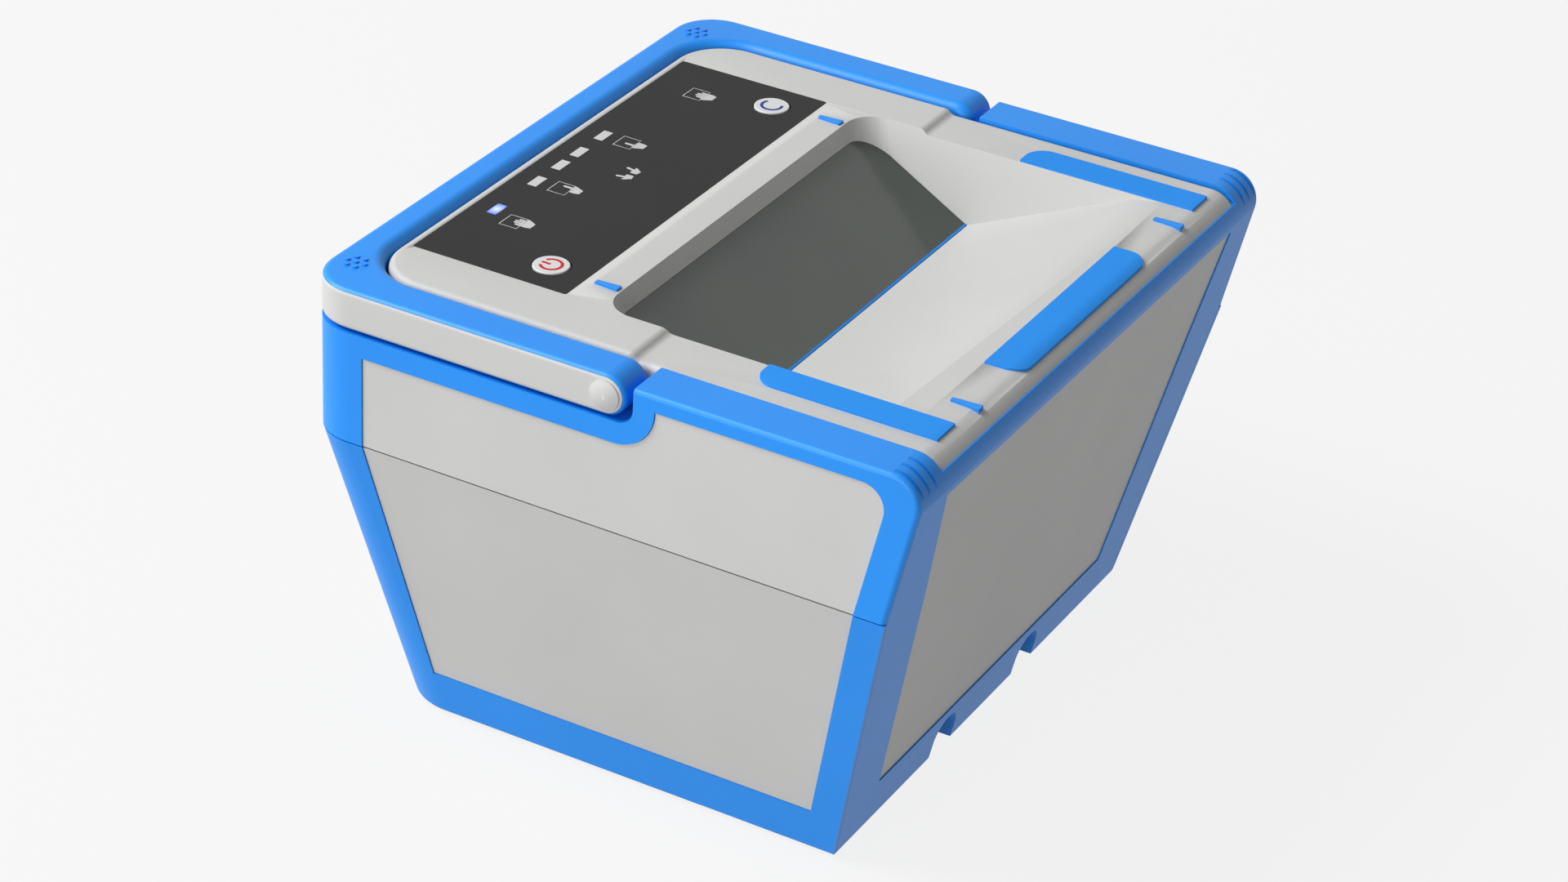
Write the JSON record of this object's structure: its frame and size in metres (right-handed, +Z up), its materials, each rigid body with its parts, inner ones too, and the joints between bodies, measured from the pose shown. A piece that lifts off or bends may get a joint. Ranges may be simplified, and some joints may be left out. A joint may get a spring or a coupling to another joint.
{
  "type": "desktop fingerprint scanner",
  "caption": "Desktop live-scan fingerprint reader: tapered two-tone casing, sunken tilted platen with entry ramp, key panel and a folding U-shaped carrying handle.",
  "frame": {"origin": "on the table, under the middle of the casing's outer box", "axes": "+X to the user's right, -Y towards the user, +Z up"},
  "size_m": [0.152, 0.1348, 0.0991],
  "materials": {
    "blue_plastic": "fine satin texture",
    "white_plastic": "fine satin texture",
    "blue_pad": "matte soft-touch",
    "black_rubber": "matte",
    "dark_plastic": "matte",
    "overlay_film": "satin printed film",
    "button_white": "satin",
    "light_guide": "translucent",
    "led_white": "gloss",
    "circuit_board": "solder resist",
    "optical_glass": "polished",
    "diffuser_plastic": "opal",
    "mirror_glass": "polished",
    "aluminium": "machined",
    "steel": "zinc plated",
    "brass": "machined"
  },
  "bodies": {
    "casing": {"back_panel_lower": "white_plastic", "back_panel_upper": "white_plastic", "base_plate": "dark_plastic", "base_screws": "steel", "board_screws": "steel", "board_standoffs": "brass", "chassis_pillars": "aluminium", "control_overlay": "overlay_film", "cover_screws": "steel", "fold_mirror": "mirror_glass", "frame_screws": "steel", "front_bezel": "blue_plastic", "front_guides": "blue_plastic", "front_pad": "blue_pad", "front_panel": "white_plastic", "illumination_board": "circuit_board", "image_sensor": "dark_plastic", "indicator_leds": "led_white", "keypad_board": "circuit_board", "keypad_screws": "steel", "keypad_switches": "dark_plastic", "left_panel_lower": "white_plastic", "left_panel_upper": "white_plastic", "lens_barrel": "aluminium", "lens_glass": "optical_glass", "lens_mount": "dark_plastic", "light_diffuser": "diffuser_plastic", "lower_frame": "blue_plastic", "main_board": "circuit_board", "mirror_wedge": "dark_plastic", "optics_chassis": "aluminium", "pivot_bushings": "brass", "platen_edge_strip": "blue_pad", "platen_glass": "optical_glass", "platen_prism": "optical_glass", "prism_holder": "dark_plastic", "processor_heatsink": "aluminium", "rear_guides": "blue_plastic", "right_panel_lower": "white_plastic", "right_panel_upper": "white_plastic", "rubber_feet": "black_rubber", "sensor_board": "circuit_board", "side_pad_left": "blue_pad", "side_pad_right": "blue_pad", "status_window_left_hand": "light_guide", "status_window_left_thumb": "light_guide", "status_window_ready": "light_guide", "status_window_right_hand": "light_guide", "status_window_two_thumbs": "light_guide", "top_cover": "white_plastic", "upper_frame": "blue_plastic", "usb_connector": "steel"},
    "carrying_handle": {"handle": "blue_plastic", "handle_band": "white_plastic", "pivot_caps": "white_plastic", "pivot_pins": "steel"},
    "power_key": {"power_button": "button_white"},
    "rescan_key": {"rescan_button": "button_white"}
  },
  "joints": [
    {"name": "handle_pivot", "type": "hinge", "parent": "casing", "child": "carrying_handle", "pos_m": [0, -0.001, 0.0943], "axis": [1, 0, 0], "range_deg": [0, 105]},
    {"name": "power_key_press", "type": "slide", "parent": "casing", "child": "power_key", "axis": [0, 0, -1], "range_m": [0, 0.0006], "stiffness_N_per_m": 800},
    {"name": "rescan_key_press", "type": "slide", "parent": "casing", "child": "rescan_key", "axis": [0, 0, -1], "range_m": [0, 0.0006], "stiffness_N_per_m": 800}
  ]
}
